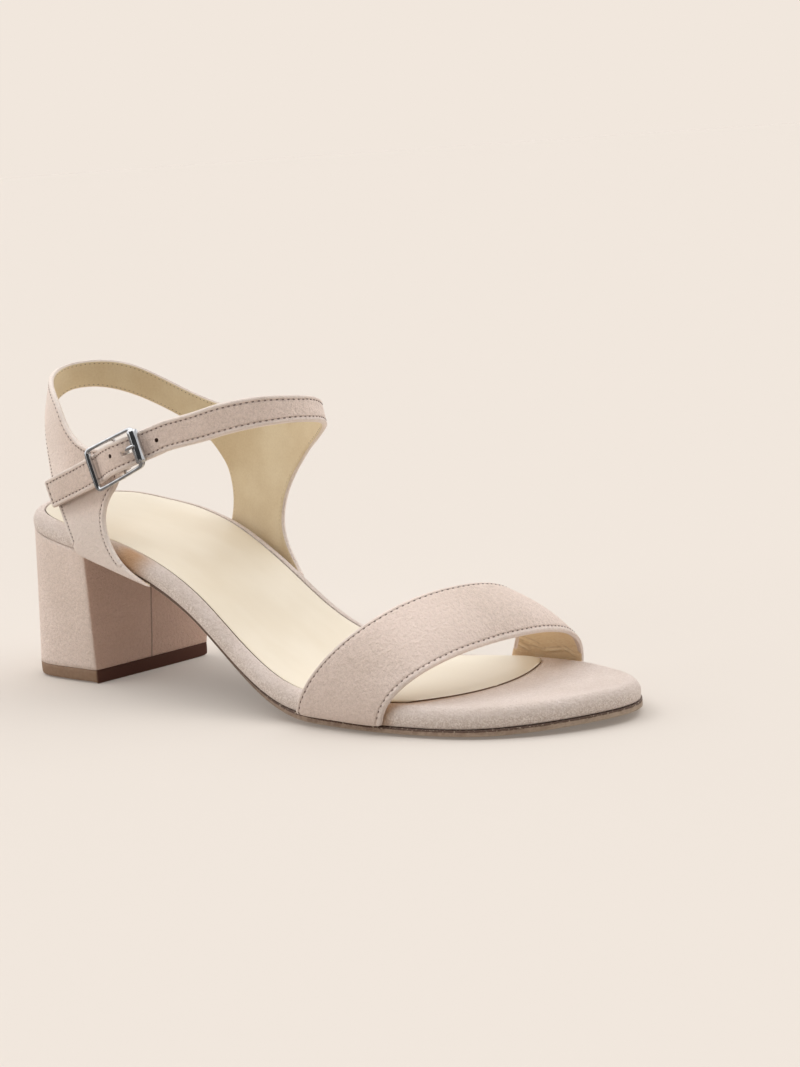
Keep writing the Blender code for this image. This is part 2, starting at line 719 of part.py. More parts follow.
def build_buckle():
    """Metal frame with an end bar, thin rails, a sleeve on its other end and a centre bar behind the strap."""
    path = []
    radii = []
    corners = [(1, 1), (-1, 1), (-1, -1), (1, -1)]
    for index, (long_sign, wide_sign) in enumerate(corners):
        centre_long = long_sign * (BUCKLE_HALF_LONG - BUCKLE_CORNER)
        half_wide = BUCKLE_HALF_WIDE if wide_sign > 0 else BUCKLE_LOWER_HALF
        centre_wide = wide_sign * (half_wide - long_sign * BUCKLE_TAPER - BUCKLE_CORNER)
        for degrees in (0, 30, 60, 90):
            turn = math.radians(index * 90 + degrees)
            path.append(along_buckle(centre_long + BUCKLE_CORNER * math.cos(turn),
                                     centre_wide + BUCKLE_CORNER * math.sin(turn), BUCKLE_Y))
            on_end = abs(math.cos(turn))
            radii.append(RAIL_RADIUS + (END_BAR_RADIUS - RAIL_RADIUS) * on_end)
    frame_points, frame_faces = tube(path, radii, 10, True)
    frame = add_piece("buckle_frame", frame_points, frame_faces, METAL, 0.2, 1.0)
    bar_path = [along_buckle(0, across, y) for across, y in
                ((-BUCKLE_LOWER_HALF, BUCKLE_Y), (-7.0, -32.4), (-6.3, CENTRE_BAR_Y),
                 (5.4, CENTRE_BAR_Y), (6.1, -32.4), (BUCKLE_HALF_WIDE, BUCKLE_Y))]
    bar_points, bar_faces = tube(bar_path, [CENTRE_BAR_RADIUS] * len(bar_path), 8, False)
    bar = add_piece("centre_bar", bar_points, bar_faces, METAL, 0.2, 1.0)
    weld(frame, bar)
    roller_path = [along_buckle(BUCKLE_HALF_LONG, across, BUCKLE_Y) for across in ROLLER_ENDS]
    roller_points, roller_faces = tube(roller_path, [ROLLER_RADIUS] * 2, 20, False)
    weld(frame, add_piece("roller", roller_points, roller_faces, METAL, 0.2, 1.0))


def build_prong():
    """Wire prong with an eye round the centre bar, up through the strap and over the end bar."""
    path = []
    for degrees in range(60, -181, -30):
        turn = math.radians(degrees)
        path.append((PRONG_EYE * math.sin(turn), CENTRE_BAR_Y + PRONG_EYE * math.cos(turn)))
    radii = [PRONG_RADIUS] * len(path) + [radius for along, y, radius in PRONG_PATH]
    path += [(along, y) for along, y, radius in PRONG_PATH]
    spots = [along_buckle(along, PRONG_ACROSS, y) for along, y in path]
    points, faces = tube(spots, radii, 8, False)
    add_piece("buckle_prong", points, faces, METAL, 0.2, 1.0)


for old in list(bpy.data.objects):
    bpy.data.objects.remove(old)

build_footbed()
build_sock()
build_outsole()
build_heel()
build_heel_tip()
build_toe_strap()
build_ankle_straps()
build_buckle()
build_prong()
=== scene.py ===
"""Looks of the right mid heel sandal: suede and leather pieces, threads, metal, floor, lights and camera."""

import math

import bmesh
import bpy
from mathutils import Matrix, Vector
from mathutils.bvhtree import BVHTree
from mathutils.kdtree import KDTree


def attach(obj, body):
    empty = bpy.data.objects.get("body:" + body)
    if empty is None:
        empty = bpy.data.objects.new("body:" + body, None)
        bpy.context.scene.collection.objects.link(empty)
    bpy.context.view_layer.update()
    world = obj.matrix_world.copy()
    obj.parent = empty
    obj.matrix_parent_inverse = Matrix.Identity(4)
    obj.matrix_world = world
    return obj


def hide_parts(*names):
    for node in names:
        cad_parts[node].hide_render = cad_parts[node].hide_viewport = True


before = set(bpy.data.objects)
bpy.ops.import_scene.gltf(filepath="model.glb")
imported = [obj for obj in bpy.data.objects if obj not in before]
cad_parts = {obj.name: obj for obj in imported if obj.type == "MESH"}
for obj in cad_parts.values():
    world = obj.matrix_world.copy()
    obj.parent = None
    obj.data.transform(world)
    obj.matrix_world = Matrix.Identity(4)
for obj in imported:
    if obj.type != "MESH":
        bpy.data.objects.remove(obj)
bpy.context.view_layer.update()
MM = 0.001

# Camera: degrees round the shoe, up and of roll, place, lens and film width
CAMERA_AROUND = 43.0909
CAMERA_UP = 8.7503
CAMERA_ROLL = -4.0301
CAMERA_PLACE = (0.56676, -0.56391, 0.17199)
CAMERA_LENS = 85.098
CAMERA_FILM = 36
CAMERA_NEAR = 10 * MM

# Suede colours, as linear red, green, blue
SUEDE_LIGHT = (0.905, 0.752, 0.668, 1)
SUEDE_DEEP = (0.800, 0.655, 0.568, 1)
SUEDE_SHADE = (0.500, 0.392, 0.328, 1)
# Pale suede of the turned edges; also painted highlight on the seam lips and painted light on the quarters
SUEDE_EDGE_AND_PAINTED_LIGHT = (0.860, 0.760, 0.690, 1)
# Painted light on parts of the straps and the heel
SUEDE_PAINTED_LIGHT = (0.960, 0.850, 0.770, 1)
# Rosier tone with painted light on the toe strap's outer crown
SUEDE_ROSY_LIGHT = (0.965, 0.795, 0.705, 1)
SUEDE_SIDE = (0.590, 0.484, 0.416, 1)
SUEDE_FIBRE = (0.900, 0.806, 0.736, 1)
# Painted shade in the seam grooves
SUEDE_GROOVE_SHADE = (0.420, 0.320, 0.265, 1)
SUEDE_SHEEN = (1.000, 0.930, 0.900, 1)
FOOTBED_LIGHT = (0.780, 0.674, 0.615, 1)
FOOTBED_DEEP = (0.690, 0.585, 0.522, 1)
BREAST_SHADE = (0.610, 0.330, 0.220, 1)
# Painted warm shade of the footbed beside the quarter and ahead of the sock
PAINTED_SHADE_BROWN = (0.480, 0.280, 0.150, 1)
SEAM_SHADE = (0.120, 0.070, 0.050, 1)

# Leather, rubber, thread and metal colours
SOCK_PALE = (0.810, 0.720, 0.585, 1)
SOCK_WARM = (0.760, 0.660, 0.515, 1)
SOCK_DARK_END = (0.610, 0.540, 0.430, 1)
SOCK_RIM = (0.170, 0.098, 0.055, 1)
TOE_LINING_PALE = (0.860, 0.680, 0.450, 1)
TOE_LINING_DEEP = (0.720, 0.530, 0.320, 1)
ANKLE_LINING_PALE = (0.760, 0.640, 0.440, 1)
ANKLE_LINING_DEEP = (0.640, 0.500, 0.310, 1)
LINING_CREST_HIGHLIGHT = (0.930, 0.800, 0.580, 1)
LINING_TROUGH_SHADE = (0.420, 0.280, 0.160, 1)
OUTSOLE_TAN = (0.400, 0.290, 0.215, 1)
OUTSOLE_BROWN = (0.300, 0.205, 0.150, 1)
OUTSOLE_PALE = (0.480, 0.385, 0.290, 1)
OUTSOLE_DARK = (0.110, 0.062, 0.042, 1)
TIP_BROWN = (0.310, 0.206, 0.140, 1)
TIP_DEEP = (0.272, 0.176, 0.118, 1)
# Painted shade on the tip's front face
TIP_FRONT_SHADE = (0.105, 0.046, 0.034, 1)
# Painted shade on the walls of the punched holes
HOLE_SHADE_BROWN = (0.200, 0.125, 0.095, 1)
HOLE_SHADE_DEEP = (0.120, 0.072, 0.055, 1)
THREAD_TAUPE = (0.250, 0.180, 0.155, 1)
THREAD_TAUPE_DEEP = (0.170, 0.115, 0.095, 1)
THREAD_CREAM = (0.720, 0.600, 0.420, 1)
THREAD_CREAM_DEEP = (0.600, 0.470, 0.300, 1)
METAL_SILVER = (0.620, 0.625, 0.635, 1)
METAL_WORN = (0.460, 0.465, 0.480, 1)

# Floor: paper tones, and where its mirror image in the metal turns from dark to pale
FLOOR_SIZE = 60.0
FLOOR_BEIGE = (0.534, 0.485, 0.439, 1)
FLOOR_FLECK = (0.512, 0.464, 0.420, 1)
FLOOR_GLOW = (1.000, 0.908, 0.822, 1)
FLOOR_GLOW_POWER = 0.16
FLOOR_MIRRORED = (0.040, 0.040, 0.042, 1)
FLOOR_DARK_X = 0.18
FLOOR_PALE_X = 0.42

# Studio light: the side each soft lamp stands on, and its power
BACKDROP = (0.880, 0.799, 0.723, 1)
AIR = (0.060, 0.060, 0.060, 1)
LAMP_SPREAD = 90
LAMPS = {
    "top_lamp": ((0.0, 0.0, 1.0), 1.95),
    "left_lamp": ((-0.90, -0.48, 0.45), 2.00),
    "back_lamp": ((-0.68, 0.73, 0.5), 1.30),
    "right_lamp": ((0.73, 0.68, 0.5), 1.30),
}

# Grain of the finishes, in grains a metre
NAP_GRAIN = 2100
TUFT_GRAIN = 900
CLOUD_GRAIN = 38
FIBRE_GRAIN = 2000
SEAM_GRAIN = 60
LINING_GRAIN = 1500
LINING_RUB_GRAIN = 55
WRINKLE_GRAIN = 260
SOCK_GRAIN = 1300
SOCK_RUB_GRAIN = 26
OUTSOLE_GRAIN = 420
SPECK_GRAIN = 1200
TIP_GRAIN = 700
HOLE_GRAIN = 2000
THREAD_GRAIN = 3000
METAL_GRAIN = 300
FLOOR_GRAIN = 40

# Relief of the finishes
NAP_RELIEF = 0.6 * MM
LEATHER_RELIEF = 0.3 * MM
OUTSOLE_RELIEF = 0.4 * MM
FINE_RELIEF = 0.15 * MM

# Smoothing of the solids: merged points, joined faces, and edges that stay sharp, in degrees
MERGE_DISTANCE = 1e-6
JOIN_FACE_ANGLE = 40
JOIN_SHAPE_ANGLE = 80
SMOOTH_LEVELS = 2
STRAP_CORNER = 50
SUEDE_SHARP = 60
SOLE_SHARP = 50

# Straps: wall, turned edge, the slack and reach in finding the wall, and the middles that linings face
STRAP_WALL = 1.8 * MM
WALL_SLACK = 1.16
PROBE_START = 0.05 * MM
PROBE_REACH = 50 * MM
STRAP_TURN = 0.5 * MM
ANKLE_CENTRE = Vector((-56.7, -2.6, 80.0)) * MM
TOE_CENTRE_DROP = 20 * MM
SIDE_LAYER = "strap_side"
OUTER, LINED, EDGE = 0, 1, 2

# Stitches: thread sizes, pitches and shares of the full size
STITCH_LENGTH = 0.98 * MM
STITCH_WIDE = 0.46 * MM
STITCH_TALL = 0.40
STITCH_SUNK = 0.06 * MM
STITCH_PITCH = 1.95 * MM
FINE_STITCH = 0.72
FINE_SEAM_TOP = 62 * MM
TOE_STITCH = 0.90
LINING_PITCH = 1.5 * MM
LINING_STITCH = 1.1
LINING_ZIGZAG = 0.7
LINING_TOP_PITCH = 1.6 * MM
LINING_TOP_STITCH = 0.7

# Sewn borders: seam insets, and where the lip and groove lie as shares of an inset
SEAM_INSET = 1.30 * MM
TOE_REAR_INSET = 1.45 * MM
TOE_FRONT_INSET = 1.50 * MM
LINING_INSET = 1.0 * MM
LINING_TOP_INSET = 0.7 * MM
LINING_SEAM_TOP = 76 * MM
SHORTEST_SEAM = 40 * MM
LONGEST_STEP = 8 * MM
BORDER_STEP = 0.25 * MM
WALK_STEPS = 4
SEAM_STOP = 3.0 * MM
BASE_NEAR = 3.2 * MM
BASE_LEAN = 0.6
FAR_FROM_SEAM = 8.0
SEAM_BAND = 1.7
LIP_AT = 0.36
LIP_RISE = 0.14 * MM
LIP_FADE = (0.55, 0.90)
GROOVE_HALF = 0.25
GROOVE_DEPTH = 0.12 * MM
GROOVE_FADE = (0.04, 0.28)

# Middle line of the toe strap in mm, as x at its outer foot, crown and inner foot, and its reach across in y
TOE_MIDDLE = (47.0, 72.5, 61.5)
TOE_OUTER_Y = -39.0
TOE_ACROSS = 80.0

# Suede turned over to the inside, and creases of the lining as x, z, x, z and height in mm
STRIP_WIDE = 1.3 * MM
STRIP_LOWEST = 12 * MM
CREASE_Y = 24 * MM
CREASE_TOP = 22 * MM
CREASE_HALF = 0.45
CREASE_END = 0.4
CREASE_MIDDLE = 2.4
CREASE_DIP = 0.6
CREASE_DIP_AT = 1.6
CREASES = [
    (53.2, 13.2, 57.4, 10.4, 0.26),
    (54.2, 15.2, 60.0, 12.8, 0.22),
    (56.2, 13.4, 61.8, 11.8, 0.20),
    (54.8, 17.6, 59.0, 16.4, 0.12),
    (61.8, 10.4, 70.8, 11.6, 0.22),
    (68.4, 12.9, 75.0, 9.2, 0.18),
    (66.0, 15.5, 67.6, 13.4, 0.10),
]
WRINKLE_TOP = (12 * MM, 20 * MM)

# Straps: where painted shade darkens them and painted light makes them paler, rosier on the toe strap, as
# fades along x, y or z
TOE_STRAP_X = 30 * MM
TOE_FOOT_Y = (-43 * MM, -30 * MM)
ROSY_LIGHT_START_Y = (-36 * MM, -26 * MM)
ROSY_LIGHT_END_Y = (-18 * MM, 0.0)
INSTEP_X = -50 * MM
INSTEP_LIGHT_Y = (-6 * MM, 16 * MM)
QUARTER_LIGHT_X = (-52 * MM, -40 * MM)
QUARTER_LIGHT_Z = (56 * MM, 64 * MM)
BACK_LIGHT_X = (-98 * MM, -80 * MM)

# Lower border of the strap's tail, below which the quarter gets a painted shadow of the tail
TAIL_LOW_X = -87.3 * MM
TAIL_LOW_Z = 60.7 * MM
TAIL_SLOPE = 0.333
TAIL_SHADOW_FADE = (-7.5 * MM, -2.5 * MM)

# Painted warm shade on the footbed's outer rim beside the quarter, and painted shade in a band ahead of the
# sock
RIM_SHADE_X = -52.0 * MM
RIM_SHADE_Z = 45.5 * MM
RIM_SHADE_WAY = (0.9, 0.44)
RIM_SHADE_FADE = (1 * MM, 13 * MM)
RIM_SHADE_Y = (-31 * MM, -27 * MM)
SOCK_SHADE_FADE = (0.2 * MM, 5 * MM)
SOCK_SHADE_Y = (-34 * MM, 6 * MM)

# Punched holes of the strap, as x and z on its outer face in mm
PUNCHED_HOLES = [(-51.1, 79.5), (-34.0, 84.5)]
HOLE_RADIUS = 0.72 * MM
HOLE_DEPTH = 2.4 * MM
HOLE_SIDES = 16
HOLE_START_Y = -60 * MM

# Slot of the prong, drawn in round the wire
SLOT_CENTRE = Vector((-44.75, -34.97, 80.80)) * MM
SLOT_ACROSS = Vector((-0.355, 0.0, 0.935))
SLOT_REACH = 4.0 * MM
SLOT_DRAW = 0.40

# Leather loop that holds the buckle, suede on both sides
LOOP_FRONT_Y = -30.0 * MM
LOOP_START_X = -59.0 * MM
LOOP_END_X = -44.0 * MM

# Sock: darker ends, front arc and the thinning of its edge there
SOCK_FRONT_X = (15 * MM, 60 * MM)
SOCK_BACK_X = (-105 * MM, -70 * MM)
SOCK_ARC_X = 7.3 * MM
SOCK_ARC_Y = 0.4 * MM
SOCK_ARC_R = 67.0 * MM
SOCK_SKIVE_X = 40 * MM
SKIVE_WIDE = 7 * MM
SKIVE_DEPTH = 0.35 * MM
SKIVE_DROP = 0.28 * MM

# Outsole: dark waist and pale tip
WAIST_X = (-10 * MM, 35 * MM)
SOLE_TIP_X = (85 * MM, 118 * MM)

# Footbed: how soon a surface counts as its side
SIDE_GAIN = 1.3

# Heel: painted light on its side, the walls that face forward and carry painted shade, and the seam down its
# front face
HEEL_LIGHT_X = (-112 * MM, -100 * MM)
WALL_TILT = 0.7
FRONT_GAIN = 1.5
FRONT_START = 0.42
SEAM_Y = -3.5 * MM
SEAM_X = -88 * MM
SEAM_HALF = 0.32 * MM
SEAM_WANDER = 0.5 * MM


class Wire:
    """One output of a finish's nodes; sums on it add Math nodes."""

    def __init__(self, tree, socket=None):
        self.tree = tree
        self.socket = socket

    def node(self, kind, settings=None, inputs=None, output=0):
        """Add a node, set it up, fill its sockets and hand back one of its outputs."""
        made = self.tree.nodes.new(kind)
        for key, value in (settings or {}).items():
            setattr(made, key, value)
        for key, value in (inputs or {}).items():
            if isinstance(value, Wire):
                self.tree.links.new(value.socket, made.inputs[key])
            else:
                made.inputs[key].default_value = value
        return Wire(self.tree, made.outputs[output])

    def sums(self, operation, first, second=0.0):
        """Add a Math node."""
        return self.node("ShaderNodeMath", {"operation": operation}, {0: first, 1: second})

    def __add__(self, other):
        return self.sums("ADD", self, other)

    def __radd__(self, other):
        return self.sums("ADD", other, self)

    def __sub__(self, other):
        return self.sums("SUBTRACT", self, other)

    def __rsub__(self, other):
        return self.sums("SUBTRACT", other, self)

    def __mul__(self, other):
        return self.sums("MULTIPLY", self, other)

    def __rmul__(self, other):
        return self.sums("MULTIPLY", other, self)

    def __pow__(self, other):
        return self.sums("POWER", self, other)

    def __abs__(self):
        return self.sums("ABSOLUTE", self)

    def __lt__(self, other):
        return self.sums("LESS_THAN", self, other)

    def __gt__(self, other):
        return self.sums("GREATER_THAN", self, other)


def finish(name):
    """A new finish with its main shader and the piece's own coordinates."""
    made = bpy.data.materials.new(name)
    made.use_nodes = True
    shader = made.node_tree.nodes["Principled BSDF"]
    start = Wire(made.node_tree)
    place = start.node("ShaderNodeTexCoord", output="Object")
    return made, shader, place


def feed(wire, shader, socket):
    """Link a wire to a shader's socket."""
    wire.tree.links.new(wire.socket, shader.inputs[socket])


def grain(place, scale, detail=2.0, rough=0.5, stretch=None):
    """Even noise of so many grains a metre."""
    at = place
    if stretch:
        at = place.node("ShaderNodeMapping", None, {"Vector": place, "Scale": stretch})
    return place.node("ShaderNodeTexNoise", None,
                      {"Vector": at, "Scale": scale, "Detail": detail, "Roughness": rough})


def ramp(value, low, high):
    """Smooth step from 0 at low to 1 at high."""
    return value.node("ShaderNodeMapRange", {"interpolation_type": "SMOOTHSTEP"},
                      {"Value": value, "From Min": low, "From Max": high})


def blend(share, first, second):
    """A colour between two colours."""
    return share.node("ShaderNodeMix", {"data_type": "RGBA"}, {0: share, 6: first, 7: second}, output=2)


def axes(place):
    """The three coordinates of a place."""
    split = place.node("ShaderNodeSeparateXYZ", None, {"Vector": place})
    outputs = split.socket.node.outputs
    return [Wire(place.tree, outputs[i]) for i in range(3)]


def attribute(place, name):
    """A number stored at the points of a piece."""
    return place.node("ShaderNodeAttribute", {"attribute_name": name}, output="Fac")


def bump(height, shader, distance, strength):
    """Raise the shader's surface by a height."""
    relief = height.node("ShaderNodeBump", None,
                         {"Height": height, "Distance": distance, "Strength": strength})
    feed(relief, shader, "Normal")


def fade_out(value, reach):
    """Smooth step from 1 at the start of a reach to 0 at its end."""
    return 1 - ramp(value, *reach)


def seam_groove(place):
    """1 along the middle of a seam's groove, 0 away from it."""
    return fade_out(abs(attribute(place, "border") - 1.0), GROOVE_FADE)


def strap_tones(place, colour):
    """Painted highlight on the seam lips, painted shade in the seam grooves, paler turned edges, and painted
    light and shade by place on the straps, with a rosier tone on the toe strap.
    """
    x, y, z = axes(place)
    # Painted highlight on the raised lip along the seams
    lip = fade_out(attribute(place, "border"), LIP_FADE)
    colour = blend(lip * 0.55, colour, SUEDE_EDGE_AND_PAINTED_LIGHT)
    # Painted shade in the sunk seam groove
    colour = blend(seam_groove(place) * 0.08, colour, SUEDE_GROOVE_SHADE)
    colour = blend(attribute(place, "turned") * 0.5, colour, SUEDE_EDGE_AND_PAINTED_LIGHT)
    toe = x > TOE_STRAP_X
    # Painted shade on the low outer side of the toe strap
    colour = blend(fade_out(y, TOE_FOOT_Y) * toe * 0.36, colour, SUEDE_SHADE)
    # Rosier tone with painted light on the toe strap's outer crown
    colour = blend(ramp(y, *ROSY_LIGHT_START_Y) * fade_out(y, ROSY_LIGHT_END_Y) * toe * 0.50, colour, SUEDE_ROSY_LIGHT)
    # Painted light on the instep strap's inner end
    colour = blend(ramp(y, *INSTEP_LIGHT_Y) * (1 - toe) * (x > INSTEP_X) * 0.25, colour, SUEDE_PAINTED_LIGHT)
    # Painted light on the low part of the quarters
    colour = blend(fade_out(x, QUARTER_LIGHT_X) * fade_out(z, QUARTER_LIGHT_Z) * 0.55, colour, SUEDE_EDGE_AND_PAINTED_LIGHT)
    # Painted shadow of the tail on the quarter below it
    under = z - TAIL_LOW_Z - (x - TAIL_LOW_X) * TAIL_SLOPE
    tail_shadow = ramp(under, *TAIL_SHADOW_FADE) * (under < 0.0) * (y < 0.0) * (x < INSTEP_X)
    colour = blend(tail_shadow * 0.62, colour, SUEDE_SHADE)
    # Painted light on the back of the ankle straps
    return blend(fade_out(x, BACK_LIGHT_X) * 0.40, colour, SUEDE_PAINTED_LIGHT)


def footbed_tones(place, colour):
    """Fibres on the footbed's side, and painted warm shade on its rim beside the quarter and in a band ahead
    of the sock.
    """
    x, y, z = axes(place)
    fibre = ramp(grain(place, FIBRE_GRAIN, 3.0, 0.7), 0.40, 0.63)
    colour = blend(attribute(place, "side") * 0.80, colour, blend(fibre, SUEDE_SIDE, SUEDE_FIBRE))
    # Painted warm shade on the rim beside the quarter
    along = abs((x - RIM_SHADE_X) * RIM_SHADE_WAY[0] - (z - RIM_SHADE_Z) * RIM_SHADE_WAY[1])
    rim_shade = fade_out(along, RIM_SHADE_FADE) * fade_out(y, RIM_SHADE_Y)
    colour = blend(rim_shade * 0.95, colour, PAINTED_SHADE_BROWN)
    # Painted shade in a band on the footbed ahead of the sock's front arc
    off_x = x - SOCK_ARC_X
    off_y = y - SOCK_ARC_Y
    ahead = (off_x * off_x + off_y * off_y) ** 0.5 - SOCK_ARC_R
    darkened = fade_out(ahead, SOCK_SHADE_FADE) * fade_out(y, SOCK_SHADE_Y) * (x > SOCK_SKIVE_X)
    return blend(darkened * 0.6, colour, PAINTED_SHADE_BROWN)


def heel_tones(place, colour):
    """Painted light on the heel's side, painted shade on its front and the seam down the front."""
    x, y = axes(place)[:2]
    # Painted light on the heel's side
    colour = blend(ramp(x, *HEEL_LIGHT_X) * 0.14, colour, SUEDE_PAINTED_LIGHT)
    # Painted shade on the heel's front face
    colour = blend(attribute(place, "front") * 0.54, colour, BREAST_SHADE)
    wander = (grain(place, SEAM_GRAIN, 1.0, 0.5) - 0.5) * SEAM_WANDER
    seam = (abs(y + wander - SEAM_Y) < SEAM_HALF) * (x > SEAM_X)
    return blend(seam * 0.5, colour, SEAM_SHADE)


def suede(name, tones, light=SUEDE_LIGHT, deep=SUEDE_DEEP, grooved=False):
    """Brushed suede: fine nap, soft clouds where the nap lies another way, and a piece's own tones."""
    made, shader, place = finish(name)
    nap = grain(place, NAP_GRAIN, 3.0, 0.7)
    tuft = grain(place, TUFT_GRAIN, 2.0, 0.6)
    cloud = grain(place, CLOUD_GRAIN, 2.0, 0.55)
    colour = blend(ramp(cloud, 0.30, 0.70), deep, light)
    lying = 0.34 * (1 - ramp(nap, 0.34, 0.62)) + 0.20 * (1 - ramp(tuft, 0.36, 0.60))
    colour = blend(lying, colour, SUEDE_SHADE)
    height = nap * 0.5 + tuft * 0.8
    if grooved:
        height = height - seam_groove(place) * 0.3
    feed(tones(place, colour), shader, "Base Color")
    shader.inputs["Roughness"].default_value = 0.95
    shader.inputs["Specular IOR Level"].default_value = 0.15
    shader.inputs["Sheen Weight"].default_value = 0.15
    shader.inputs["Sheen Roughness"].default_value = 0.45
    shader.inputs["Sheen Tint"].default_value = SUEDE_SHEEN
    bump(height, shader, NAP_RELIEF, 1.0)
    return made


def lining(name, pale, deep, crinkled=False):
    """Thin lining leather with a fine grain and soft rubs, and where it is crinkled, creases with painted
    highlight on their crests and fold lines and painted shade in their troughs.
    """
    made, shader, place = finish(name)
    pore = grain(place, LINING_GRAIN, 2.0, 0.6)
    rub = grain(place, LINING_RUB_GRAIN, 2.0, 0.6)
    tone = ramp(rub, 0.30, 0.70) * 0.7 + ramp(pore, 0.30, 0.70) * 0.3
    colour = blend(tone, deep, pale)
    height = pore * 0.3
    if crinkled:
        crease = attribute(place, "crease")
        wrinkle = abs(grain(place, WRINKLE_GRAIN, 3.0, 0.7, (0.5, 1.0, 1.4)) - 0.5)
        fold = (1 - ramp(wrinkle, 0.0, 0.06)) * fade_out(axes(place)[2], WRINKLE_TOP)
        # Painted highlight on crease crests and fold lines, painted shade in the troughs
        colour = blend(ramp(crease, 0.03, 0.22) * 0.7 + fold * 0.35, colour, LINING_CREST_HIGHLIGHT)
        colour = blend(ramp(0 - crease, 0.02, 0.14) * 0.4, colour, LINING_TROUGH_SHADE)
        height = height + fold * 0.8
    feed(colour, shader, "Base Color")
    feed(0.42 + pore * 0.2, shader, "Roughness")
    bump(height, shader, LEATHER_RELIEF, 0.35)
    return made


def sock_leather(name):
    """Cream satin leather, darker towards both ends, with the brown of its cut edge."""
    made, shader, place = finish(name)
    x = axes(place)[0]
    pore = grain(place, SOCK_GRAIN, 3.0, 0.6)
    rub = grain(place, SOCK_RUB_GRAIN, 3.0, 0.6, (0.6, 1.6, 1.0))
    colour = blend(ramp(rub, 0.32, 0.68), SOCK_WARM, SOCK_PALE)
    darkened = ramp(x, *SOCK_FRONT_X) * 0.62 + fade_out(x, SOCK_BACK_X) * 0.40
    colour = blend(darkened, colour, SOCK_DARK_END)
    cut = 1 - ramp(attribute(place, "rise"), 0.62, 0.80)
    colour = blend(cut, colour, SOCK_RIM)
    feed(colour, shader, "Base Color")
    feed(0.36 + rub * 0.14 + pore * 0.08, shader, "Roughness")
    shader.inputs["Specular IOR Level"].default_value = 0.45
    bump(pore * 0.25 + rub, shader, LEATHER_RELIEF, 0.25)
    return made


def outsole_edge(name):
    """Outsole edge: a thin dark upper line with pale specks over a tan band, paler at the bottom and tip."""
    made, shader, place = finish(name)
    x = axes(place)[0]
    rough = grain(place, OUTSOLE_GRAIN, 3.0, 0.7)
    speck = ramp(grain(place, SPECK_GRAIN, 2.0, 0.6), 0.56, 0.64)
    rise = attribute(place, "rise") + (rough - 0.5) * 0.30
    upper = ramp(rise, 0.64, 0.74)
    lower = 1 - ramp(rise, 0.10, 0.36)
    dark = blend(speck * 0.75, OUTSOLE_DARK, OUTSOLE_PALE)
    tan = blend(ramp(rough, 0.38, 0.62), OUTSOLE_TAN, OUTSOLE_BROWN)
    tan = blend(lower * 0.45 + ramp(x, *SOLE_TIP_X) * 0.30, tan, OUTSOLE_PALE)
    colour = blend(upper, tan, dark)
    colour = blend(fade_out(x, WAIST_X) * 0.85, colour, OUTSOLE_DARK)
    feed(colour, shader, "Base Color")
    feed(0.6 + rough * 0.25, shader, "Roughness")
    bump(rough + speck * 0.3, shader, OUTSOLE_RELIEF, 0.5)
    return made


def plain(name, colour, deeper, roughness, scale, front=None, gloss=0.5):
    """A moulded or woven finish with fine grain, and painted shade on its front where a shade colour is
    given.
    """
    made, shader, place = finish(name)
    fine = grain(place, scale, 2.0, 0.6)
    tone = blend(ramp(fine, 0.3, 0.7), deeper, colour)
    if front:
        # Painted shade on the front face
        tone = blend(attribute(place, "front") * 0.97, tone, front)
    feed(tone, shader, "Base Color")
    feed(roughness + (fine - 0.5) * 0.2, shader, "Roughness")
    shader.inputs["Specular IOR Level"].default_value = gloss
    bump(fine, shader, FINE_RELIEF, 0.3)
    return made


def metal(name):
    """Polished plated metal with faint wear."""
    made, shader, place = finish(name)
    wear = grain(place, METAL_GRAIN, 3.0, 0.6)
    feed(blend(ramp(wear, 0.35, 0.65), METAL_WORN, METAL_SILVER), shader, "Base Color")
    shader.inputs["Metallic"].default_value = 1.0
    feed(0.05 + wear * 0.07, shader, "Roughness")
    return made


def mesh_of(shape, name):
    """Turn a shape into a mesh."""
    mesh = bpy.data.meshes.new(name)
    shape.to_mesh(mesh)
    shape.free()
    return mesh


def add_object(name, data):
    """Put a new object into the scene."""
    made = bpy.data.objects.new(name, data)
    bpy.context.scene.collection.objects.link(made)
    return made


def point_tree(points):
    """A tree for finding the nearest of some points."""
    tree = KDTree(len(points))
    for i, spot in enumerate(points):
        tree.insert(spot, i)
    tree.balance()
    return tree


def node_copy(node):
    """A merged copy of a solid's mesh with its four-sided faces joined again."""
    shape = bmesh.new()
    shape.from_mesh(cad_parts[node].data)
    bmesh.ops.remove_doubles(shape, verts=shape.verts, dist=MERGE_DISTANCE)
    bmesh.ops.join_triangles(shape, faces=shape.faces, angle_face_threshold=math.radians(JOIN_FACE_ANGLE),
                             angle_shape_threshold=math.radians(JOIN_SHAPE_ANGLE))
    return shape


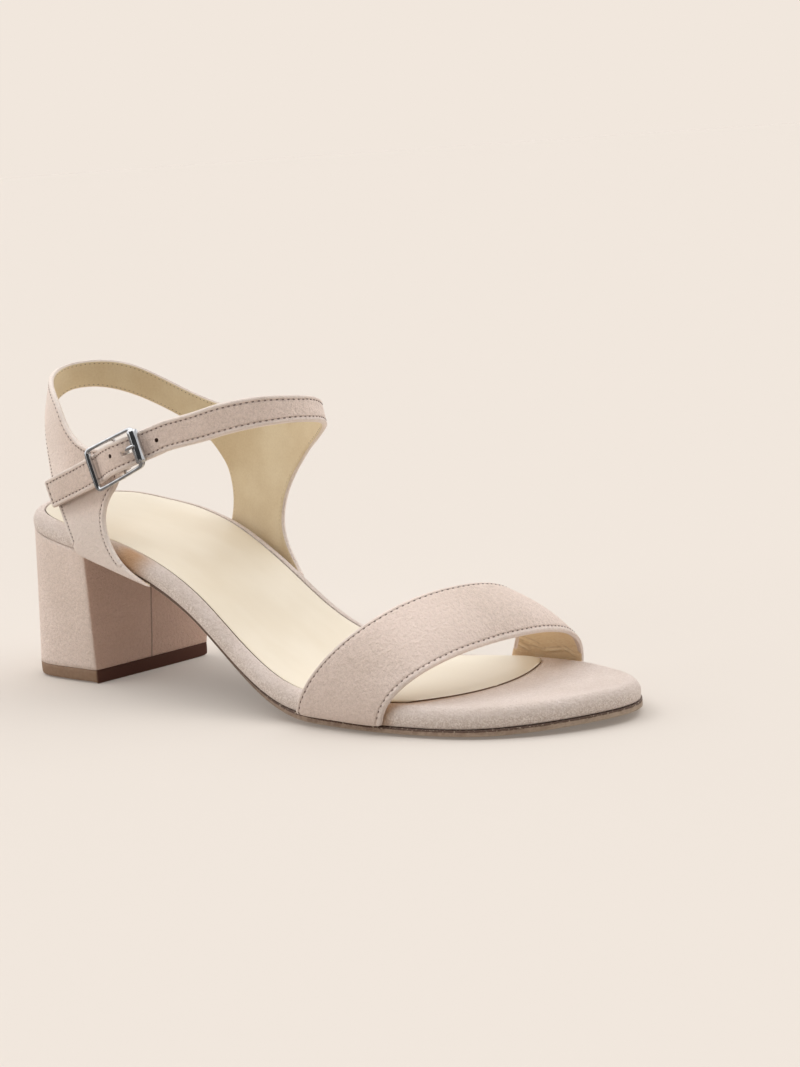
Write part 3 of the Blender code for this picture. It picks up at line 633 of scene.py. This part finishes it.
def rounded(shape, name, sharp=None, turn=0.0):
    """Give a smoothly subdivided shape, with edges past sharp degrees kept, or rounded by turn."""
    if turn:
        corners = [edge for edge in shape.edges if edge.calc_face_angle(0) > math.radians(STRAP_CORNER)]
        bmesh.ops.bevel(shape, geom=corners, offset=turn, offset_type="OFFSET", segments=1, profile=0.5,
                        affect="EDGES", material=-1, clamp_overlap=True)
    if sharp:
        crease = shape.edges.layers.float.new("crease_edge")
        for edge in shape.edges:
            if len(edge.link_faces) == 2 and edge.calc_face_angle(0) > math.radians(sharp):
                edge[crease] = 1.0
    mesh = mesh_of(shape, name)
    piece = add_object(name, mesh)
    smooth = piece.modifiers.new("smooth", "SUBSURF")
    smooth.levels = SMOOTH_LEVELS
    smooth.render_levels = SMOOTH_LEVELS
    bpy.context.view_layer.update()
    finer = bpy.data.meshes.new_from_object(piece.evaluated_get(bpy.context.evaluated_depsgraph_get()))
    bpy.data.objects.remove(piece)
    bpy.data.meshes.remove(mesh)
    shape = bmesh.new()
    shape.from_mesh(finer)
    bpy.data.meshes.remove(finer)
    return shape


def place_piece(shape, name, finishes, node=None):
    """Make a shape a piece of the sandal, in place of a solid where one is named."""
    for face in shape.faces:
        face.smooth = True
    mesh = mesh_of(shape, name)
    for made in finishes:
        mesh.materials.append(made)
    piece = add_object(name, mesh)
    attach(piece, "root")
    if node:
        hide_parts(node)
    return piece


def sort_sides(shape, inward_of):
    """Mark a strap's faces as its outer side, its lining side or its edge."""
    shape.normal_update()
    tree = BVHTree.FromBMesh(shape)
    layer = shape.faces.layers.int.new(SIDE_LAYER)
    for face in shape.faces:
        spot = face.calc_center_median()
        hit = tree.ray_cast(spot - face.normal * PROBE_START, -face.normal, PROBE_REACH)
        if hit[3] is None or hit[3] > STRAP_WALL * WALL_SLACK:
            face[layer] = EDGE
        elif face.normal.dot(inward_of(spot)) > 0:
            face[layer] = LINED
            face.material_index = 1
        else:
            face[layer] = OUTER


def faces_of(shape, side):
    """All faces of one side of a strap."""
    layer = shape.faces.layers.int[SIDE_LAYER]
    return {face for face in shape.faces if face[layer] == side}


def edge_loops(side):
    """Chains of points round the border of one side of a strap, without the small ones round slots."""
    links = {}
    for face in sorted(side, key=lambda f: f.index):
        for edge in face.edges:
            if sum(other in side for other in edge.link_faces) == 1:
                a, b = edge.verts
                links.setdefault(a, []).append(b)
                links.setdefault(b, []).append(a)
    loops = []
    left = set(links)
    while left:
        first = min(left, key=lambda v: v.index)
        loop = [first]
        left.discard(first)
        while True:
            onward = [v for v in links[loop[-1]] if v in left]
            if not onward:
                break
            loop.append(onward[0])
            left.discard(onward[0])
        if sum((a.co - b.co).length for a, b in zip(loop, loop[1:])) > SHORTEST_SEAM:
            loops.append(loop)
    return loops


def row_points(loop, side, surface, inset_of, wanted):
    """A seam row set in from a border: border point, row point, normal, inset and whether it is sewn."""
    row = []
    count = len(loop)
    for i, vert in enumerate(loop):
        faces = [f for f in vert.link_faces if f in side]
        normal = sum((f.normal for f in faces), Vector()).normalized()
        along = loop[(i + 1) % count].co - loop[i - 1].co
        way_in = sum((f.calc_center_median() - vert.co for f in faces), Vector())
        way_in -= normal * way_in.dot(normal)
        if along.length > 0:
            along.normalize()
            way_in -= along * way_in.dot(along)
        way_in.normalize()
        inset = inset_of(vert.co)
        spot, normal, leaning = walk(surface, vert.co, way_in, inset)
        row.append((vert.co.copy(), spot, normal, inset, wanted(vert.co, leaning)))
    return row


def stop_short(row):
    """End a row a little before the part of its border that is not sewn."""
    bare = [point[0] for point in row if not point[4]]
    if not bare:
        return row
    tree = point_tree(bare)
    return [point[:4] + (tree.find(point[0])[2] > SEAM_STOP,) for point in row]


def walk(surface, start, way, distance):
    """Go so far over a surface from a point, and give the place, the normal and the way there."""
    spot = start.copy()
    for step in range(WALK_STEPS):
        spot, normal = surface.find_nearest(spot + way * (distance / WALK_STEPS))[:2]
        way = (way - normal * way.dot(normal)).normalized()
    return spot, normal, (spot - start).normalized()


def row_steps(row):
    """Neighbouring points of a row, where the border between them is sewn."""
    for first, second in zip(row, row[1:] + row[:1]):
        step = (second[1] - first[1]).length
        if 0 < step < LONGEST_STEP and first[4] and second[4]:
            yield first, second, step


def add_stitch(threads, spot, along, normal, tilt=0.0, scale=1.0):
    """One sunk thread stitch."""
    side = normal.cross(along).normalized()
    along = side.cross(normal).normalized()
    if tilt:
        straight = along
        along = straight * math.cos(tilt) + side * math.sin(tilt)
        side = side * math.cos(tilt) - straight * math.sin(tilt)
    turn = Matrix((along, side, normal)).transposed().to_4x4()
    half_sizes = (STITCH_LENGTH / 2, STITCH_WIDE / 2, STITCH_WIDE * STITCH_TALL)
    size = Matrix.Diagonal([scale * half for half in half_sizes] + [1])
    stitch = bmesh.new()
    bmesh.ops.create_uvsphere(stitch, u_segments=6, v_segments=4, radius=1.0,
                              matrix=Matrix.Translation(spot - normal * STITCH_SUNK * scale) @ turn @ size)
    mesh = mesh_of(stitch, "stitch")
    threads.from_mesh(mesh)
    bpy.data.meshes.remove(mesh)


def sew(threads, row, pitch=STITCH_PITCH, zigzag=0.0, size=1.0, fine_below=0.0):
    """Lay stitches along the sewn part of a row, finer ones below a height."""
    travelled = 0.0
    due = pitch / 2
    number = 0
    whole = size
    for first, second, step in row_steps(row):
        while due <= travelled + step:
            share = (due - travelled) / step
            spot = first[1].lerp(second[1], share)
            normal = first[2].lerp(second[2], share).normalized()
            size = whole * FINE_STITCH if spot.z < fine_below else whole
            add_stitch(threads, spot, second[1] - first[1], normal, zigzag if number % 2 else -zigzag, size)
            number += 1
            due += pitch * size / whole
        travelled += step


def border_tree(rows):
    """Sewn border points for finding the nearest one, with the inset of each."""
    points = []
    insets = []
    for row in rows:
        for first, second, step in row_steps(row):
            count = math.ceil(step / BORDER_STEP)
            for i in range(count):
                points.append(first[0].lerp(second[0], i / count))
                insets.append(first[3])
    return point_tree(points), insets


def turn_edges(shape, rows, cuts):
    """Raise the turned lip and sink the seam groove along a strap's sewn borders."""
    tree, insets = border_tree(rows)

    def reach(vert):
        index, distance = tree.find(vert.co)[1:]
        return min(distance / insets[index], FAR_FROM_SEAM)

    near = {vert for face in faces_of(shape, OUTER) for vert in face.verts if reach(vert) < SEAM_BAND}
    edges = [edge for edge in shape.edges if edge.verts[0] in near and edge.verts[1] in near]
    bmesh.ops.subdivide_edges(shape, edges=edges, cuts=cuts, use_grid_fill=True)
    shape.normal_update()
    layer = shape.faces.layers.int[SIDE_LAYER]
    border = shape.verts.layers.float.new("border")
    turned = shape.verts.layers.float.new("turned")
    moves = []
    for vert in shape.verts:
        sides = {face[layer] for face in vert.link_faces}
        value = reach(vert)
        vert[border] = value
        vert[turned] = 1.0 if EDGE in sides else 0.0
        if sides == {OUTER}:
            lip = math.exp(-((value - LIP_AT) / LIP_AT) ** 2)
            groove = math.exp(-((value - 1.0) / GROOVE_HALF) ** 2)
            moves.append((vert, vert.normal * (LIP_RISE * lip - GROOVE_DEPTH * groove)))
    for vert, move in moves:
        vert.co += move


def write_point_values(shape, name, value_of):
    """Store one number at each point of a shape for its finish."""
    shape.normal_update()
    layer = shape.verts.layers.float.new(name)
    for vert in shape.verts:
        vert[layer] = value_of(vert)


def rise_share(vert):
    """1 at the points of a sole's upper face, 0 at those of its lower face."""
    return 1.0 if vert.normal.z > 0 else 0.0


def side_share(vert):
    """How far a point belongs to the side of the footbed, from 0 to 1."""
    return max(0.0, 1 - abs(vert.normal.z) * SIDE_GAIN)


def front_share(vert):
    """How far the wall of the heel faces forward at a point, from 0 to 1."""
    walls = [face.normal for face in vert.link_faces if abs(face.normal.z) < WALL_TILT]
    forward = sum(walls, Vector()).normalized().x
    return min(max(forward * FRONT_GAIN - FRONT_START, 0.0), 1.0)


def crease_lining(shape):
    """Press the listed creases into the toe strap's lining at its inner foot."""
    lined = [face for face in faces_of(shape, LINED) if face.calc_center_median().y > CREASE_Y]
    low = {vert for face in lined for vert in face.verts if vert.co.z < CREASE_TOP}
    edges = [edge for edge in shape.edges if edge.verts[0] in low and edge.verts[1] in low]
    bmesh.ops.subdivide_edges(shape, edges=edges, cuts=1, use_grid_fill=True)
    shape.normal_update()
    layer = shape.faces.layers.int[SIDE_LAYER]
    crease = shape.verts.layers.float.new("crease")
    moves = []
    for vert in shape.verts:
        if vert.co.y < CREASE_Y or {face[layer] for face in vert.link_faces} != {LINED}:
            continue
        spot = Vector((vert.co.x, vert.co.z)) / MM
        rise = 0.0
        for x0, z0, x1, z1, height in CREASES:
            start = Vector((x0, z0))
            run = Vector((x1, z1)) - start
            share = min(max((spot - start).dot(run) / run.length_squared, 0.0), 1.0)
            off = (spot - start - run * share).length / CREASE_HALF
            fade = CREASE_END + CREASE_MIDDLE * share * (1 - share)
            dip = CREASE_DIP * math.exp(-(off - CREASE_DIP_AT) ** 2)
            rise += height * fade * (math.exp(-off * off) - dip)
        vert[crease] = rise
        moves.append((vert, vert.normal * rise * MM))
    for vert, move in moves:
        vert.co += move


def strip_inside(shape):
    """Carry the suede round the toe strap's edges on to its lining side."""
    high_edges = [face for face in faces_of(shape, EDGE) if face.calc_center_median().z > STRIP_LOWEST]
    edge_points = [vert.co for face in high_edges for vert in face.verts]
    tree = point_tree(edge_points)
    for face in faces_of(shape, LINED):
        if tree.find(face.calc_center_median())[2] < STRIP_WIDE:
            face.material_index = 0


def punch(strap, spot, normal, walls):
    """Cut a small round hole through a strap."""
    peg = bmesh.new()
    turn = normal.to_track_quat("Z", "Y").to_matrix().to_4x4()
    bmesh.ops.create_cone(peg, cap_ends=True, segments=HOLE_SIDES, radius1=HOLE_RADIUS, radius2=HOLE_RADIUS,
                          depth=HOLE_DEPTH, matrix=Matrix.Translation(spot) @ turn)
    mesh = mesh_of(peg, "peg")
    mesh.materials.append(walls)
    cutter = add_object("peg", mesh)
    cut = strap.modifiers.new("punch", "BOOLEAN")
    cut.operation = "DIFFERENCE"
    cut.solver = "EXACT"
    cut.material_mode = "TRANSFER"
    cut.object = cutter
    bpy.context.view_layer.update()
    punched = bpy.data.meshes.new_from_object(strap.evaluated_get(bpy.context.evaluated_depsgraph_get()))
    strap.modifiers.clear()
    rim = bmesh.new()
    rim.from_mesh(punched)
    wall = punched.materials.find(walls.name)
    border = rim.verts.layers.float["border"]
    turned = rim.verts.layers.float["turned"]
    for face in rim.faces:
        if face.material_index == wall:
            for edge in face.edges:
                edge.smooth = False
            for vert in face.verts:
                vert[border] = FAR_FROM_SEAM
                vert[turned] = 0.0
    rim.to_mesh(punched)
    rim.free()
    strap.data = punched
    bpy.data.objects.remove(cutter)


def toe_inward(spot):
    """Way from a point of the toe strap to its inside."""
    return Vector((0, -spot.y, -TOE_CENTRE_DROP - spot.z))


def ankle_inward(spot):
    """Way from a point of the ankle straps to their inside, level with the floor."""
    way = ANKLE_CENTRE - spot
    way.z = 0
    return way


def toe_inset(spot):
    """Seam inset of the toe strap: one behind its middle line, another ahead of it."""
    share = (spot.y / MM - TOE_OUTER_Y) / TOE_ACROSS
    outer, crown, inner = TOE_MIDDLE
    middle = outer * (1 - share) * (1 - 2 * share) + crown * 4 * share * (1 - share)
    middle += inner * share * (2 * share - 1)
    return TOE_FRONT_INSET if spot.x > middle * MM else TOE_REAR_INSET


def draw_in_slot(shape):
    """Close the prong's slot round the wire."""
    for vert in shape.verts:
        away = vert.co - SLOT_CENTRE
        if away.length < SLOT_REACH:
            share = SLOT_DRAW * (1 - (away.length / SLOT_REACH) ** 2)
            vert.co -= SLOT_ACROSS * away.dot(SLOT_ACROSS) * share


def make_straps(threads, pale_threads):
    """Toe strap and ankle straps, suede outside and lined inside, with their seam rows."""
    strap_suede = suede("suede_strap", strap_tones, grooved=True)
    toe_lining = lining("toe_lining", TOE_LINING_PALE, TOE_LINING_DEEP, crinkled=True)
    ankle_lining = lining("ankle_lining", ANKLE_LINING_PALE, ANKLE_LINING_DEEP)
    # Painted shade on the walls of the punched holes
    hole_shade = plain("hole_shade", HOLE_SHADE_BROWN, HOLE_SHADE_DEEP, 0.8, HOLE_GRAIN)
    below = []
    for node in ("outsole", "heel"):
        shape = node_copy(node)
        below.append(BVHTree.FromBMesh(shape))
        shape.free()

    def sewn(spot, way_in):
        """A border is sewn except along a strap's foot, close to the outsole or heel."""
        near = min(tree.find_nearest(spot)[3] for tree in below) < BASE_NEAR
        return not (near and way_in.z > BASE_LEAN)

    def sewn_low(spot, way_in):
        return sewn(spot, way_in) and spot.z < LINING_SEAM_TOP

    def sewn_high(spot, way_in):
        return spot.z > LINING_SEAM_TOP

    shape = rounded(node_copy("toe_strap"), "toe_strap_fine", turn=STRAP_TURN)
    sort_sides(shape, toe_inward)
    outer = faces_of(shape, OUTER)
    surface = BVHTree.FromBMesh(shape)
    rows = [row_points(loop, outer, surface, toe_inset, sewn) for loop in edge_loops(outer)]
    for row in rows:
        sew(threads, row, size=TOE_STITCH)
    turn_edges(shape, rows, 2)
    crease_lining(shape)
    strip_inside(shape)
    place_piece(shape, "toe_strap_suede", [strap_suede, toe_lining], "toe_strap")

    shape = rounded(node_copy("ankle_straps"), "ankle_straps_fine", turn=STRAP_TURN)
    draw_in_slot(shape)
    sort_sides(shape, ankle_inward)
    outer = faces_of(shape, OUTER)
    lined = faces_of(shape, LINED)
    surface = BVHTree.FromBMesh(shape)
    rows = [row_points(loop, outer, surface, lambda spot: SEAM_INSET, sewn) for loop in edge_loops(outer)]
    rows = [stop_short(row) for row in rows]
    for row in rows:
        sew(threads, row, fine_below=FINE_SEAM_TOP)
    for loop in edge_loops(lined):
        low = row_points(loop, lined, surface, lambda spot: LINING_INSET, sewn_low)
        sew(pale_threads, low, LINING_PITCH, LINING_ZIGZAG, LINING_STITCH)
        high = row_points(loop, lined, surface, lambda spot: LINING_TOP_INSET, sewn_high)
        sew(threads, high, LINING_TOP_PITCH, 0.0, LINING_TOP_STITCH)
    turn_edges(shape, rows, 1)
    for face in faces_of(shape, LINED):
        spot = face.calc_center_median()
        if spot.y < LOOP_FRONT_Y and LOOP_START_X < spot.x < LOOP_END_X:
            face.material_index = 0
    finishes = [strap_suede, ankle_lining, hole_shade]
    straps = place_piece(shape, "ankle_straps_suede", finishes, "ankle_straps")
    for x, z in PUNCHED_HOLES:
        start = Vector((x * MM, HOLE_START_Y, z * MM))
        spot, normal = surface.ray_cast(start, Vector((0, 1, 0)))[:2]
        punch(straps, spot, normal, hole_shade)


def make_sole():
    """Footbed, sock, outsole, heel and its top piece."""
    shape = rounded(node_copy("footbed"), "footbed_fine", SUEDE_SHARP)
    write_point_values(shape, "side", side_share)
    footbed_suede = suede("suede_footbed", footbed_tones, FOOTBED_LIGHT, FOOTBED_DEEP)
    place_piece(shape, "footbed_suede", [footbed_suede], "footbed")

    shape = node_copy("insole_sock")
    write_point_values(shape, "rise", rise_share)
    shape = rounded(shape, "insole_sock_fine", SOLE_SHARP)
    rise = shape.verts.layers.float["rise"]
    for vert in shape.verts:
        into = SOCK_ARC_R - Vector((vert.co.x - SOCK_ARC_X, vert.co.y - SOCK_ARC_Y)).length
        if vert.co.x > SOCK_SKIVE_X and into < SKIVE_WIDE:
            thinned = (1 - max(into, 0.0) / SKIVE_WIDE) ** 2
            vert.co.z -= (SKIVE_DEPTH * vert[rise] + SKIVE_DROP) * thinned
    place_piece(shape, "insole_sock_leather", [sock_leather("sock_satin")], "insole_sock")

    shape = node_copy("outsole")
    write_point_values(shape, "rise", rise_share)
    shape = rounded(shape, "outsole_fine", SOLE_SHARP)
    place_piece(shape, "outsole_leather", [outsole_edge("outsole_edge")], "outsole")

    shape = rounded(node_copy("heel"), "heel_fine", SUEDE_SHARP)
    write_point_values(shape, "front", front_share)
    place_piece(shape, "heel_suede", [suede("suede_heel", heel_tones)], "heel")

    shape = rounded(node_copy("heel_tip"), "heel_tip_fine", SOLE_SHARP)
    write_point_values(shape, "front", front_share)
    tip = plain("tip_rubber", TIP_BROWN, TIP_DEEP, 0.55, TIP_GRAIN, front=TIP_FRONT_SHADE, gloss=0.04)
    place_piece(shape, "heel_tip_rubber", [tip], "heel_tip")


def make_buckle():
    """Polished frame and prong."""
    polished = metal("buckle_polished")
    for node, slot in (("buckle_frame", "buckle_metal"), ("buckle_prong", "prong_metal")):
        shape = rounded(node_copy(node), node + "_fine")
        place_piece(shape, node + "_polished", [polished], node)


def make_threads(threads, pale_threads):
    """Sewing thread of all the seam rows."""
    taupe = plain("thread_taupe", THREAD_TAUPE, THREAD_TAUPE_DEEP, 0.75, THREAD_GRAIN)
    cream = plain("thread_cream", THREAD_CREAM, THREAD_CREAM_DEEP, 0.7, THREAD_GRAIN)
    place_piece(threads, "seam_stitches", [taupe])
    place_piece(pale_threads, "lining_stitches", [cream])


def make_stage():
    """Pale floor and soft studio lamps above and on three sides."""
    plane = bmesh.new()
    bmesh.ops.create_grid(plane, x_segments=1, y_segments=1, size=FLOOR_SIZE)
    mesh = mesh_of(plane, "floor")
    floor = add_object("floor", mesh)
    made, shader, place = finish("floor_paper")
    fine = grain(place, FLOOR_GRAIN, 2.0, 0.5)
    mirrored = place.node("ShaderNodeLightPath", output="Is Glossy Ray")
    paper = blend(fine * 0.03, FLOOR_BEIGE, FLOOR_FLECK)
    near = 1 - ramp(axes(place)[0], FLOOR_DARK_X, FLOOR_PALE_X)
    feed(blend(mirrored * near * 0.85, paper, FLOOR_MIRRORED), shader, "Base Color")
    shader.inputs["Roughness"].default_value = 1.0
    shader.inputs["Specular IOR Level"].default_value = 0.0
    shader.inputs["Emission Color"].default_value = FLOOR_GLOW
    shader.inputs["Emission Strength"].default_value = FLOOR_GLOW_POWER
    mesh.materials.append(made)

    world = bpy.data.worlds.new("studio")
    world.use_nodes = True
    tree = world.node_tree
    seen = Wire(tree).node("ShaderNodeLightPath", output="Is Camera Ray")
    feed(blend(seen, AIR, BACKDROP), tree.nodes["Background"], "Color")
    bpy.context.scene.world = world

    for name, (side, power) in LAMPS.items():
        light = bpy.data.lights.new(name, "SUN")
        light.energy = power
        light.angle = math.radians(LAMP_SPREAD)
        lamp = add_object(name, light)
        lamp.rotation_euler = (-Vector(side)).to_track_quat("-Z", "Y").to_euler()
    bpy.context.scene.view_settings.view_transform = "Standard"


def make_camera():
    """Camera at the photograph's angle."""
    around, up_angle, roll = (math.radians(v) for v in (CAMERA_AROUND, CAMERA_UP, CAMERA_ROLL))
    flat = math.cos(up_angle)
    back = Vector((math.sin(around) * flat, -math.cos(around) * flat, math.sin(up_angle)))
    level = Vector((math.cos(around), math.sin(around), 0))
    upright = back.cross(level)
    right = level * math.cos(roll) + upright * math.sin(roll)
    up = upright * math.cos(roll) - level * math.sin(roll)
    lens = bpy.data.cameras.new("camera")
    lens.lens = CAMERA_LENS
    lens.sensor_width = CAMERA_FILM
    lens.clip_start = CAMERA_NEAR
    camera = add_object("camera", lens)
    camera.matrix_world = Matrix.Translation(CAMERA_PLACE) @ Matrix((right, up, back)).transposed().to_4x4()
    bpy.context.scene.camera = camera


make_camera()
make_stage()
seam_threads = bmesh.new()
lining_threads = bmesh.new()
make_straps(seam_threads, lining_threads)
make_sole()
make_buckle()
make_threads(seam_threads, lining_threads)
